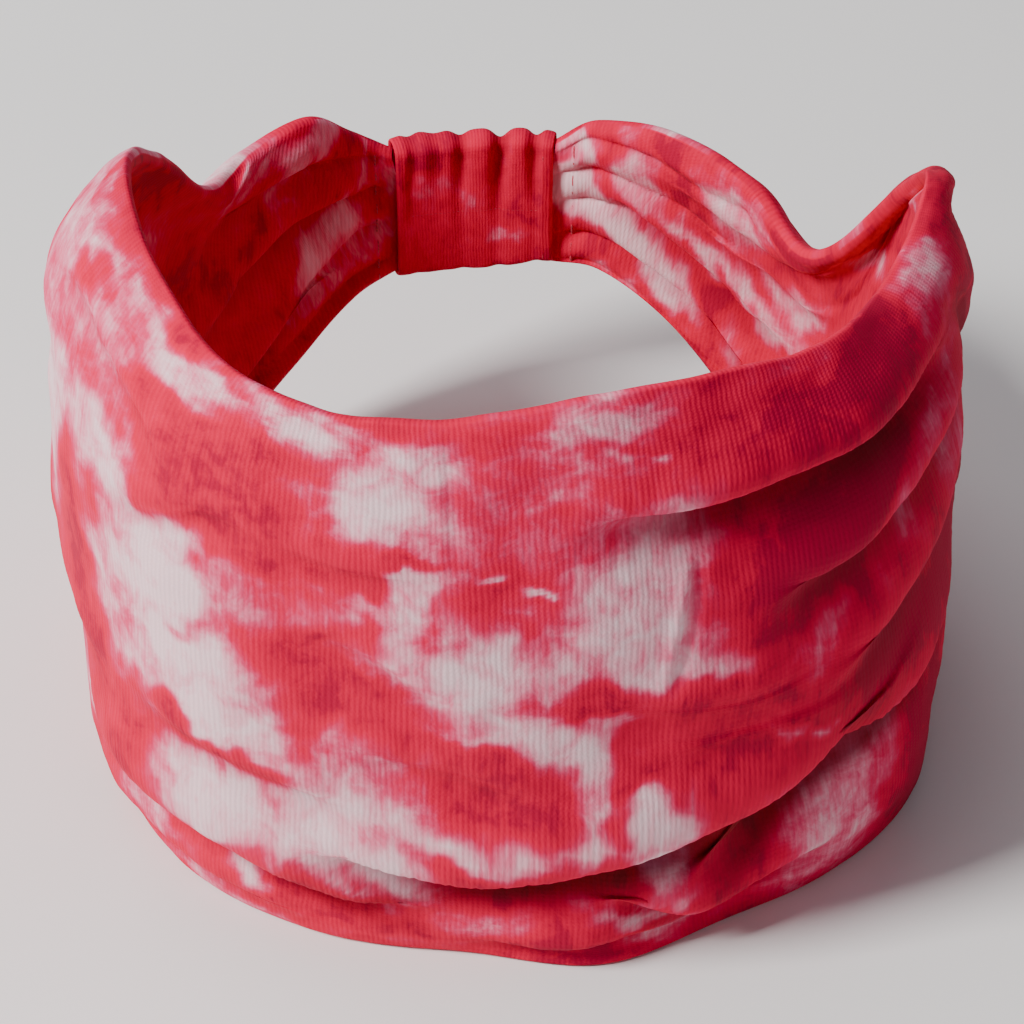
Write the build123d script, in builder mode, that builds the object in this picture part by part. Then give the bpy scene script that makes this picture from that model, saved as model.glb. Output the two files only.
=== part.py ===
"""Wide stretch headband: a knit tube that stands as a ring, gathered at the back into a
ruched casing over flat elastic. Millimetres, +Z up, origin at the centre of the footprint."""
from build123d import *
from math import cos, degrees, radians, sin
import os

os.makedirs("parts", exist_ok=True)

# Driving dimensions
WALL = 4.0  # two plies of jersey and the air between them
GAP = 0.4  # clear space between the band's cloth and the back section, which moves off it
THREAD = 0.5  # sewing thread
FLOOR_CUT = 400.0  # larger than the ring, for the flat cut at the floor

# Back section: a casing that follows an arc round the nape
CASING_LENGTH = 31.0
CASING_HEIGHT = 32.0
CASING_THICKNESS = 6.0
CASING_CORNER = 2.4
CASING_BOTTOM = 34.0  # height of its lower edge above the floor
BACK_RADIUS = 70.0  # plan radius of the casing's middle surface
BACK_Y = 79.16  # where that surface crosses the YZ plane
ELASTIC_HEIGHT = 26.0
ELASTIC_THICKNESS = 1.4
ELASTIC_CLEAR = 0.4  # the elastic's channel is this much larger all round

# Stitches
STITCH_LENGTH = 2.2
STITCH_PITCH = 3.2
STITCHES_PER_ROW = 8
JOINT_ROW_INSET = 1.6  # joint stitches stand this far inside the casing's ends
GATHER_ROW_INSET = 1.8  # gathering stitches stand this far inside the band's ends
GATHER_CLEAR = 1.3  # and this far off its faces, which curve away there
CLOSING_SEAM_WIDTH = 2.4
CLOSING_SEAM_PITCH = 5.0
CLOSING_SEAM_CLEAR = 0.9  # the band's closing stitches stand this far off its inner face
CLOSING_SEAM_RISE = 0.25  # its height on the wall, as a share of the wall's height

CASING_MIDDLE_Z = CASING_BOTTOM + CASING_HEIGHT / 2
HALF_ARC = degrees(CASING_LENGTH / 2 / BACK_RADIUS)
BACK_AXIS = Axis((0, BACK_Y - BACK_RADIUS, 0), (0, 0, 1))
UP = Vector(0, 0, 1)


def arc_degrees(length):
    """The back's arc that a length along its middle surface spans, in degrees."""
    return degrees(length / BACK_RADIUS)


def upright(spot, out):
    """A vertical plane across the ring: its x points out of the ring and its y points up."""
    return Plane(origin=spot, x_dir=out, z_dir=out.cross(UP))


def back_plane(turn, radius=BACK_RADIUS, z=CASING_MIDDLE_Z):
    """The upright plane at an angle from +Y towards +X, on the back's arc."""
    out = Vector(sin(radians(turn)), cos(radians(turn)), 0)
    return upright(Vector(0, BACK_Y - BACK_RADIUS, z) + out * radius, out)


# The band's right half, from the middle of the front to the gathered end: the outer belly in
# plan, the heights of hem and rim, and how far each of those two stands inside the belly.
# A hem below zero is cut off flat by the floor.
HALF_STATIONS = [
    (0.0, -82.0, -2.0, 120.0, 4.0, 8.0),
    (33.0, -76.5, -2.0, 120.0, 4.0, 8.0),
    (61.0, -56.5, -2.0, 118.0, 5.0, 9.0),
    (78.0, -26.0, -2.0, 116.0, 5.0, 12.0),
    (81.5, 2.0, -2.0, 114.0, 5.0, 12.0),
    (76.0, 26.0, 0.0, 98.0, 4.0, 8.0),
    (62.0, 46.0, 12.0, 82.0, 2.5, 4.0),
    (44.0, 63.0, 22.0, 80.0, 1.5, 2.5),
    (28.0, 75.0, 30.0, 76.0, 0.8, 1.0),
]
END_TURN = HALF_ARC + arc_degrees(GAP)
END = back_plane(END_TURN, BACK_RADIUS + WALL / 2).origin
HALF_STATIONS.append((END.X, END.Y, CASING_BOTTOM + 1.0, CASING_BOTTOM + 31.0, 0.6, 0.6))
STATIONS = [(-x, *rest) for x, *rest in HALF_STATIONS[:0:-1]] + HALF_STATIONS
LAST = len(STATIONS) - 1


def station_plane(index):
    """The upright plane across the wall at a station, square to the ring's plan there."""
    spot = Vector(*STATIONS[index][:2])
    if index in (0, LAST):
        turn = radians(END_TURN if index else -END_TURN)
        return upright(spot, Vector(sin(turn), cos(turn), 0))
    along = Vector(*STATIONS[index + 1][:2]) - Vector(*STATIONS[index - 1][:2])
    return upright(spot, along.normalized().cross(UP))


def wall_section(index):
    """The wall's outline at a station: a shallow barrel from the hem to the rim."""
    hem, rim, hem_in, rim_in = STATIONS[index][2:]
    with BuildSketch(station_plane(index)) as section:
        with BuildLine():
            outer = ThreePointArc((-hem_in, hem), (0, (hem + rim) / 2), (-rim_in, rim))
            inner = ThreePointArc(
                (-rim_in - WALL, rim), (-WALL, (hem + rim) / 2), (-hem_in - WALL, hem)
            )
            Line(outer @ 1, inner @ 0)
            Line(inner @ 1, outer @ 0)
        make_face()
    return section.sketch


def seam_point(index):
    """A point beside the wall's inner face, at the height of the closing seam."""
    hem, rim, hem_in = STATIONS[index][2:5]
    height = hem + (rim - hem) * CLOSING_SEAM_RISE
    inside = WALL + CLOSING_SEAM_CLEAR + THREAD / 2 + hem_in * CLOSING_SEAM_RISE
    return station_plane(index).from_local_coords(Vector(-inside, height))


# Two-ply jersey tube, standing on its hem: one wall, open at the back
with BuildPart() as band_tube:
    loft(sections=[wall_section(index) for index in range(LAST + 1)])
    split(bisect_by=Plane.XY, keep=Keep.TOP)
band_tube.part.label = "band_tube"

# Overlock thread that closes the band's cloth into a tube: upright stitches on the inner ply
seam_path = Spline(*[seam_point(index) for index in range(2, LAST - 1)])
seam_stitches = int(seam_path.length / CLOSING_SEAM_PITCH)
with BuildPart() as band_closing_thread:
    for count in range(seam_stitches + 1):
        along = seam_path % (count / seam_stitches)
        out = Vector(along.X, along.Y, 0).normalized().cross(UP)
        with BuildSketch(upright(seam_path @ (count / seam_stitches), out)):
            Rectangle(THREAD, CLOSING_SEAM_WIDTH)
        extrude(amount=THREAD / 2, both=True)
band_closing_thread.part.label = "band_closing_thread"

# Jersey sleeve round the elastic: a flat tube bent round the nape, open at both ends
with BuildPart() as casing_tube:
    with BuildSketch(back_plane(-HALF_ARC)):
        RectangleRounded(CASING_THICKNESS, CASING_HEIGHT, CASING_CORNER)
        Rectangle(
            ELASTIC_THICKNESS + 2 * ELASTIC_CLEAR,
            ELASTIC_HEIGHT + 2 * ELASTIC_CLEAR,
            mode=Mode.SUBTRACT,
        )
    revolve(axis=BACK_AXIS, revolution_arc=-2 * HALF_ARC)
casing_tube.part.label = "casing_tube"

# Flat woven elastic inside the casing
with BuildPart() as elastic_band:
    with BuildSketch(back_plane(-HALF_ARC)):
        Rectangle(ELASTIC_THICKNESS, ELASTIC_HEIGHT)
    revolve(axis=BACK_AXIS, revolution_arc=-2 * HALF_ARC)
elastic_band.part.label = "elastic_band"

# Thread that closes the casing's cloth into a sleeve, along the middle of its inner face
with BuildPart() as casing_closing_thread:
    with BuildSketch(back_plane(-HALF_ARC, BACK_RADIUS - CASING_THICKNESS / 2 - THREAD / 2)):
        Rectangle(THREAD, THREAD)
    revolve(axis=BACK_AXIS, revolution_arc=-2 * HALF_ARC)
casing_closing_thread.part.label = "casing_closing_thread"


def stitch_rows(turn, face_offset):
    """Upright stitches on the inner and the outer face, at one angle of the back's arc."""
    with BuildSketch(back_plane(turn)) as rows:
        with GridLocations(2 * face_offset + THREAD, STITCH_PITCH, 2, STITCHES_PER_ROW):
            Rectangle(THREAD, STITCH_LENGTH)
    return rows.sketch


# Lockstitch that holds casing, elastic and gathered band together, one seam at each end
JOINT_TURN = HALF_ARC - arc_degrees(JOINT_ROW_INSET)
with BuildPart() as left_joint_thread:
    extrude(stitch_rows(-JOINT_TURN, CASING_THICKNESS / 2), amount=THREAD / 2, both=True)
left_joint_thread.part.label = "left_joint_thread"

with BuildPart() as right_joint_thread:
    extrude(stitch_rows(JOINT_TURN, CASING_THICKNESS / 2), amount=THREAD / 2, both=True)
right_joint_thread.part.label = "right_joint_thread"

# Gathering thread that draws each end of the band together, beside the joint
GATHER_TURN = HALF_ARC + arc_degrees(GATHER_ROW_INSET)
with BuildPart() as left_gathering_thread:
    extrude(stitch_rows(-GATHER_TURN, WALL / 2 + GATHER_CLEAR), amount=THREAD / 2, both=True)
left_gathering_thread.part.label = "left_gathering_thread"

with BuildPart() as right_gathering_thread:
    extrude(stitch_rows(GATHER_TURN, WALL / 2 + GATHER_CLEAR), amount=THREAD / 2, both=True)
right_gathering_thread.part.label = "right_gathering_thread"

for piece in (
    band_tube,
    band_closing_thread,
    casing_tube,
    casing_closing_thread,
    elastic_band,
    left_joint_thread,
    right_joint_thread,
    left_gathering_thread,
    right_gathering_thread,
):
    export_step(piece.part, f"parts/{piece.part.label}.step")
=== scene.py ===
from math import cos, pi, radians, sin

import bpy
import numpy as np
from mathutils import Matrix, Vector


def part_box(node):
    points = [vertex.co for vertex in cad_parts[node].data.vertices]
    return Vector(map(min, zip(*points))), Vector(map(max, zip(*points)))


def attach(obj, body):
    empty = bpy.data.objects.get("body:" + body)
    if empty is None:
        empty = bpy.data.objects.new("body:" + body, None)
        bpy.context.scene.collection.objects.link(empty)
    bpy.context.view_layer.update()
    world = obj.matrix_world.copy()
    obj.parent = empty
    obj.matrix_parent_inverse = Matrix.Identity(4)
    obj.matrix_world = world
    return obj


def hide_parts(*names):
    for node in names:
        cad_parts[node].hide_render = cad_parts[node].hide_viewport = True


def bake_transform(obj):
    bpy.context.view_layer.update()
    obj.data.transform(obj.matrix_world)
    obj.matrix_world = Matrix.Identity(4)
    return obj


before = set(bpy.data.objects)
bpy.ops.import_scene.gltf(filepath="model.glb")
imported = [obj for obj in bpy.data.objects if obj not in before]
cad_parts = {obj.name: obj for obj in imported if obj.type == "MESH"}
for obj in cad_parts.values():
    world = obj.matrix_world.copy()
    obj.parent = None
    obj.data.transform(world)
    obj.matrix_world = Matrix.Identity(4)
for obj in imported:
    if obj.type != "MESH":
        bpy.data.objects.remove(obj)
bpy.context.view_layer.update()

MM = 0.001

# ---------------------------------------------------------------- the ring's shape, in millimetres

# The band's stations, from its left gathered end round the front to its right one:
# outer belly (x, y), rim (x, y, z), hem height, how far the hem is tucked inside the belly,
# how far the wall turns in towards the rim (degrees), and how square its shoulder is.
STATIONS = np.array([
    (-15.9, 79.5, -15.9, 77.6, 65.0, 35.0, 0.5, 50, 1.0),
    (-27.0, 77.0, -24.0, 78.0, 69.0, 29.0, 1.0, 50, 1.0),
    (-40.0, 69.5, -33.0, 71.0, 77.0, 19.0, 1.5, 60, 1.0),
    (-53.0, 58.5, -45.0, 62.0, 76.5, 11.0, 2.0, 70, 1.1),
    (-66.0, 43.0, -52.0, 50.0, 77.0, 5.0, 2.0, 80, 1.2),
    (-75.0, 25.0, -57.5, 30.0, 97.0, 2.0, 2.0, 86, 1.4),
    (-78.0, 3.0, -62.0, 11.0, 113.0, 0.3, 3.0, 88, 1.5),
    (-79.0, -20.0, -63.0, -8.0, 121.0, 0.1, 4.0, 88, 1.6),
    (-73.5, -44.0, -58.5, -33.0, 121.0, 0.1, 6.0, 85, 1.5),
    (-60.0, -64.0, -49.0, -57.0, 120.5, 0.1, 7.0, 80, 1.3),
    (-38.0, -77.0, -34.0, -70.5, 118.5, 0.1, 6.5, 75, 1.1),
    (-14.0, -83.0, -15.0, -75.5, 119.0, 0.1, 6.5, 72, 1.0),
    (10.0, -83.5, 8.0, -74.0, 121.5, 0.1, 2.0, 72, 1.0),
    (34.0, -79.0, 30.0, -67.0, 120.0, 0.1, 6.0, 72, 1.0),
    (56.0, -67.0, 47.0, -55.0, 116.0, 0.1, 5.0, 78, 1.2),
    (71.5, -47.0, 56.5, -40.0, 113.0, 0.1, 1.5, 84, 1.4),
    (78.5, -22.0, 66.0, -21.5, 112.5, 0.1, 1.5, 88, 1.6),
    (80.5, 2.0, 71.0, -5.5, 111.0, 0.3, 2.0, 88, 1.6),
    (77.5, 25.0, 70.0, 12.0, 95.0, 2.0, 3.0, 85, 1.6),
    (69.0, 42.0, 60.5, 35.0, 66.0, 5.0, 6.0, 75, 1.3),
    (56.0, 57.0, 52.0, 52.0, 70.5, 14.0, 6.5, 65, 1.1),
    (41.0, 69.0, 38.5, 66.5, 72.5, 26.0, 3.5, 60, 1.0),
    (27.0, 77.0, 25.0, 76.5, 70.0, 33.5, 1.5, 50, 1.0),
    (15.9, 79.5, 15.9, 77.6, 65.0, 35.0, 0.5, 50, 1.0),
])
LAST = len(STATIONS) - 1
BELLY = 0.45  # the belly's height, as a share of the wall's
HEM_TURN = radians(75)
# Half the steps over which the wall's directions are measured
STATION_STEP = 0.02
HEIGHT_STEP = 0.006


def smooth(values, at):
    """Catmull-Rom through evenly spaced rows, read at fractional row numbers."""
    values = np.asarray(values, float)
    at = np.clip(np.asarray(at, float), 0, len(values) - 1 - 1e-9)
    row = at.astype(int)
    part = (at - row)[:, None]
    ends = np.vstack([2 * values[0] - values[1], values, 2 * values[-1] - values[-2]])
    a, b, c, d = (ends[row + k] for k in range(4))
    return 0.5 * (
        2 * b + (c - a) * part + (2 * a - 5 * b + 4 * c - d) * part**2
        + (3 * b - a - 3 * c + d) * part**3
    )


def gauss(x):
    return np.exp(-0.5 * x * x)


def ramp(x, low, high):
    """0 below low, 1 above high, smooth between."""
    part = np.clip((x - low) / (high - low), 0, 1)
    return part * part * (3 - 2 * part)


def wall(station, height):
    """Points on the wall before its folds. height runs from 0 at the hem to 1 at the rim."""
    line = smooth(STATIONS, station)
    step = smooth(STATIONS[:, :2], station + STATION_STEP) - smooth(STATIONS[:, :2], station - STATION_STEP)
    step /= np.linalg.norm(step, axis=1, keepdims=True)
    out = np.column_stack([step[:, 1], -step[:, 0], 0 * station])
    rim = line[:, 2:5]
    hem = np.column_stack([line[:, :2], line[:, 5]]) - out * line[:, 6:7]
    belly = np.column_stack([line[:, :2], hem[:, 2] + BELLY * (rim[:, 2] - hem[:, 2])])
    upper = (height - BELLY) / (1 - BELLY)
    lower = 1 - height / BELLY
    return (
        belly
        + wall_arc(rim - belly, upper, np.radians(line[:, 7]), line[:, 8])
        + wall_arc(hem - belly, lower, HEM_TURN, 1.0)
    )


def wall_arc(way, part, turn, squareness):
    """How far along its way an arc that leaves the belly upright has come."""
    angle = np.clip(part, 0, 1) * turn
    across = ((1 - np.cos(angle)) / (1 - np.cos(turn))) ** squareness
    up = np.sin(angle) / np.sin(turn)
    return way * np.column_stack([across, across, up])


# Cloth coordinates: millimetres along the girth, and millimetres up the wall from the hem.
FINE = np.linspace(0, LAST, 1601)
FINE_STEPS = np.diff(smooth(STATIONS[:, :2], FINE), axis=0)
GIRTH = np.append(0, np.cumsum(np.linalg.norm(FINE_STEPS, axis=1)))
SPAN = 1.06 * np.interp(FINE, range(LAST + 1), STATIONS[:, 4] - STATIONS[:, 5])


def along_of(station):
    return np.interp(station, FINE, GIRTH)


def span_of(station):
    return np.interp(station, FINE, SPAN)


def noise(x, y, pitch, seed):
    """Smooth noise from -1 to 1, with bumps about pitch apart."""
    cells = 64
    lattice = np.random.RandomState(seed).uniform(-1, 1, (cells, cells))
    x, y = 0.8 * x + 0.6 * y, 0.8 * y - 0.6 * x
    column, row = np.floor(x / pitch).astype(int), np.floor(y / pitch).astype(int)
    a, b = x / pitch - column, y / pitch - row
    a, b = a * a * (3 - 2 * a), b * b * (3 - 2 * b)

    def corner(i, j):
        return lattice[(column + i) % cells, (row + j) % cells]

    low = corner(0, 0) * (1 - a) + corner(1, 0) * a
    high = corner(0, 1) * (1 - a) + corner(1, 1) * a
    return low * (1 - b) + high * b


# ---------------------------------------------------------------- folds

# Folds of the outer ply, each along (station, height) points from left to right: how far the
# roll above hangs over the line, its bulge, the dent below it, its width, and how far the
# whole wall below steps in.
OUTER_FOLDS = [
    # the long roll across the front, and the one that runs up from it on the right
    (
        [(9.4, 0.30), (10.4, 0.285), (11.4, 0.297), (12.3, 0.325), (13.1, 0.37), (13.9, 0.42), (14.8, 0.48)],
        7.0, 3.6, 2.6, 2.7, 5.6,
    ),
    (
        [(12.4, 0.20), (12.9, 0.26), (13.45, 0.335), (14.2, 0.38), (15.0, 0.41), (15.8, 0.42)],
        5.2, 3.0, 2.0, 2.4, 4.2,
    ),
    # the pale roll low on the left
    (
        [(7.0, 0.33), (7.8, 0.29), (8.6, 0.275), (9.3, 0.262), (9.9, 0.22), (10.4, 0.185), (11.1, 0.175)],
        5.4, 3.0, 2.0, 2.4, 4.0,
    ),
    # the lips at the hem
    ([(11.8, 0.21), (12.25, 0.19), (12.7, 0.155), (13.3, 0.16), (14.2, 0.19)], 3.2, 1.6, 1.2, 1.7, 1.8),
    ([(10.8, 0.085), (11.4, 0.10), (12.0, 0.11), (12.8, 0.105), (13.6, 0.11)], 3.2, 1.6, 1.0, 1.7, 0.5),
    ([(6.4, 0.14), (7.2, 0.115), (8.2, 0.11), (9.2, 0.10), (10.2, 0.075)], 2.4, 1.2, 1.2, 1.8, 0.0),
    # the ridge under the rim on the right, and the soft ones below it
    (
        [(11.5, 0.765), (12.3, 0.775), (13.1, 0.795), (14.0, 0.81), (14.8, 0.82), (15.8, 0.80)],
        3.6, 2.9, 2.0, 2.6, 2.8,
    ),
    ([(12.9, 0.62), (13.5, 0.635), (14.3, 0.675), (15.2, 0.70), (16.2, 0.67)], 2.6, 2.4, 1.8, 2.6, 2.0),
    ([(13.3, 0.495), (14.0, 0.52), (14.7, 0.56), (15.4, 0.58), (16.2, 0.54)], 2.4, 2.0, 1.6, 2.4, 1.6),
    ([(12.0, 0.44), (12.8, 0.45), (13.6, 0.465), (14.2, 0.48)], 0.8, 1.0, 0.8, 2.2, 0.5),
    # folds that run down the right side
    ([(15.2, 0.90), (15.9, 0.78), (16.6, 0.62), (17.4, 0.47), (18.4, 0.34)], 1.8, 1.9, 1.6, 2.6, 1.0),
    ([(15.6, 0.52), (16.4, 0.42), (17.4, 0.30), (18.6, 0.22)], 2.6, 2.0, 1.6, 2.6, 1.0),
    ([(15.0, 0.27), (16.0, 0.21), (17.2, 0.15), (18.4, 0.12)], 2.8, 1.7, 1.4, 2.2, 1.0),
    ([(16.2, 0.93), (17.0, 0.83), (17.9, 0.70), (19.0, 0.58)], 1.8, 1.7, 1.4, 2.4, 1.0),
    # the left flank
    ([(4.4, 0.62), (5.4, 0.69), (6.2, 0.74), (7.0, 0.72), (7.8, 0.66)], 1.4, 1.3, 1.2, 2.4, 0.8),
    ([(5.0, 0.38), (6.0, 0.45), (6.8, 0.46), (7.6, 0.41), (8.4, 0.38)], 2.4, 1.6, 1.5, 2.4, 1.0),
    ([(6.9, 0.80), (7.7, 0.84), (8.6, 0.80), (9.1, 0.72)], 0.7, 0.8, 0.7, 1.6, 0.3),
    ([(8.1, 0.66), (8.8, 0.68), (9.3, 0.73), (9.9, 0.73)], 0.5, 0.7, 0.6, 1.4, 0.3),
    # soft creases across the middle
    ([(9.6, 0.735), (10.3, 0.715), (10.9, 0.72)], 0.5, 0.5, 0.5, 1.2, 0.3),
    ([(9.6, 0.62), (10.3, 0.60), (10.8, 0.545), (11.2, 0.48)], 0.6, 0.7, 0.6, 1.5, 0.3),
    ([(10.0, 0.44), (10.6, 0.45), (11.2, 0.42), (11.6, 0.38)], 0.6, 0.8, 0.6, 1.6, 0.3),
    ([(8.3, 0.44), (9.0, 0.41), (9.8, 0.385), (10.5, 0.37)], 1.0, 1.0, 0.9, 1.8, 0.5),
    ([(11.9, 0.52), (12.4, 0.50), (13.1, 0.50), (13.8, 0.53)], 0.6, 0.8, 0.6, 1.6, 0.3),
]
# The same for the inner ply.
INNER_FOLDS = [
    ([(19.2, 0.44), (20.0, 0.42), (20.7, 0.45), (21.4, 0.53), (22.2, 0.58)], 2.6, 2.0, 1.4, 2.2, 1.2),
    ([(18.4, 0.90), (19.1, 0.86), (19.8, 0.74), (20.6, 0.74), (21.6, 0.80)], 1.6, 1.5, 1.2, 2.0, 0.6),
    ([(18.6, 0.66), (19.4, 0.62), (20.4, 0.59), (21.4, 0.67)], 1.2, 1.2, 1.0, 1.8, 0.5),
    ([(19.4, 0.22), (20.3, 0.24), (21.2, 0.28), (22.2, 0.34)], 1.6, 1.4, 1.2, 1.8, 0.5),
    ([(17.4, 0.86), (18.0, 0.80), (18.6, 0.74)], 1.2, 1.2, 1.0, 1.8, 0.5),
    ([(0.6, 0.60), (1.4, 0.63), (2.2, 0.58), (3.0, 0.52), (4.0, 0.44)], 2.0, 1.8, 1.4, 2.2, 0.8),
    ([(0.8, 0.32), (1.6, 0.33), (2.4, 0.27), (3.4, 0.22), (4.6, 0.20)], 1.8, 1.6, 1.2, 2.0, 0.6),
    ([(1.0, 0.83), (2.0, 0.80), (3.0, 0.78), (4.0, 0.80)], 1.2, 1.3, 1.0, 2.0, 0.5),
    ([(5.0, 0.70), (7.0, 0.62), (9.0, 0.60), (11.0, 0.64)], 1.0, 1.2, 1.0, 2.6, 0.4),
    ([(9.0, 0.34), (11.0, 0.38), (13.0, 0.34), (15.0, 0.36)], 1.2, 1.2, 1.0, 2.6, 0.4),
    ([(12.0, 0.74), (13.6, 0.70), (15.2, 0.72), (16.6, 0.66)], 1.0, 1.0, 1.0, 2.4, 0.4),
    ([(4.6, 0.36), (6.2, 0.30), (7.8, 0.28)], 1.2, 1.2, 1.0, 2.4, 0.4),
]
# Short sharp nips that run up the outer ply: their points, depth and width.
NIPS = [
    ([(12.62, 0.71), (12.56, 0.65), (12.48, 0.58), (12.40, 0.51)], 1.3, 0.9),
    ([(10.97, 0.98), (10.97, 0.88), (10.98, 0.78), (10.96, 0.70)], 0.3, 0.7),
]
ROLL_REACH = 9.0  # how far above a fold its bulge dies away
MOST_TUCK = 7.5
DENT_REACH = 6.0
STEP_REACH = 15.0  # how far below a fold its step takes to come back out
# Painted shade below the folds: how deep a fold must be to get all of it, and how far past the roll's edge
# it fades
DEEP_FOLD = 8.0
CREASE_SHADE_REACH = 2.2
# What the roll hides of the cloth below it from a viewer above, as shares of its hang and step; the painted
# shade below a fold starts just past it
HANG_HIDES = 0.88
STEP_HIDES = 0.55


def fold_shift(folds, along, up):
    """How far folds move the cloth down and outwards, in millimetres. Down past a line, the
    cloth hangs in a round roll, turns up behind it, and comes back down further in. The third
    result is how far the other ply gives way for the part behind the roll, and the fourth is
    how much painted shade the cloth gets just below a roll, from 0 to 1."""
    down, out, tuck, painted_crease_shade = (np.zeros_like(along) for _ in range(4))
    for points, hang, bulge, dent, width, step in folds:
        across, taper = beside(points, along, up)
        part = across / width
        down += taper * hang * part * np.exp(0.5 - 0.5 * part**2)
        out += taper * bulge * ramp(part, 0.1, 1.9) * gauss(across / ROLL_REACH) ** 2
        below = np.maximum(-across, 0)
        sunk = dent * gauss(across / DENT_REACH) + step * gauss(across / STEP_REACH) ** 2
        out -= taper * sunk * ramp(-part, 0.1, 1.9)
        tuck += taper * (dent + step) * ramp(-across, -9, -3) * gauss(below / STEP_REACH) ** 2
        # Painted shade: the cloth just below the roll is darkened, more for deeper folds, from where it
        # comes into sight
        depth = min((dent + step + 0.5 * hang) / DEEP_FOLD, 1)
        hidden = HANG_HIDES * hang + STEP_HIDES * (dent + step)
        seen = np.maximum(-across - hidden, 0)
        painted_crease_shade += taper * depth * ramp(part, 0.9, -0.5) * gauss(seen / CREASE_SHADE_REACH)
    return down, out, np.minimum(tuck, MOST_TUCK), np.minimum(painted_crease_shade, 1)


def beside(points, along, up):
    """The distance left of a line of (station, height) points, and 1 beside its middle that
    falls to 0 past its ends."""
    line = smooth(points, np.linspace(0, len(points) - 1, 14 * len(points)))
    line = np.column_stack([along_of(line[:, 0]), line[:, 1] * span_of(line[:, 0])])
    step = np.gradient(line, axis=0)
    step /= np.linalg.norm(step, axis=1, keepdims=True)
    nearest = np.argmin(
        (along[:, None] - line[:, 0]) ** 2 + (up[:, None] - line[:, 1]) ** 2, axis=1
    )
    way = np.column_stack([along, up]) - line[nearest]
    across = step[nearest, 0] * way[:, 1] - step[nearest, 1] * way[:, 0]
    beyond = step[nearest, 0] * way[:, 0] + step[nearest, 1] * way[:, 1]
    part = nearest / (len(line) - 1)
    taper = ramp(part, 0, 0.34) * ramp(1 - part, 0, 0.34) * gauss(beyond / 3)
    return across, taper


def pleats(along, up_share, seed):
    """Puffed pleats that fan out from each gathered end, in millimetres outwards."""
    total = GIRTH[-1]
    moved = np.zeros_like(along)
    for from_end, count, phase in ((along, 4.3, 0.15), (total - along, 4.7, 0.6)):
        strength = 1.5 * (1 - ramp(from_end, 4, 60)) + 0.9 * (1 - ramp(from_end, 30, 120))
        strength *= ramp(from_end, -4, 7)
        wander = 0.55 * noise(from_end, up_share * 40, 24, seed) * ramp(from_end, 0, 30)
        lobes = np.abs(np.sin(pi * (count * up_share + phase + wander)))
        moved += strength * (lobes**0.6 - 0.62)
    return moved


# ---------------------------------------------------------------- the band's cloth

COLUMNS = 560
WALL_HALF = 1.6  # half the thickness of the two plies together
EDGE_RADIUS = 1.5  # the cloth's roll at rim and hem
EDGE_STEPS = 6
OUTER_STEPS = 196
INNER_STEPS = 84


def band_rows():
    """Down the length of one column: which ply, height share, distance from the nearer edge
    and how far the ply stands off the middle of the wall, as a share of its full offset."""
    turn = np.linspace(0, pi / 2, EDGE_STEPS, endpoint=False)
    edge = list(zip(EDGE_RADIUS * (1 - np.cos(turn)), np.sin(turn)))
    rows = [(1, 0.0, away, off) for away, off in edge]
    rows += [(1, share, 0.0, 1.0) for share in np.linspace(0, 1, OUTER_STEPS)]
    rows += [(1, 1.0, away, off) for away, off in edge[::-1]]
    rows += [(-1, 1.0, away, off) for away, off in edge[1:]]
    rows += [(-1, share, 0.0, 1.0) for share in np.linspace(1, 0, INNER_STEPS)]
    rows += [(-1, 0.0, away, off) for away, off in edge[:0:-1]]
    return np.array(rows)


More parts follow.
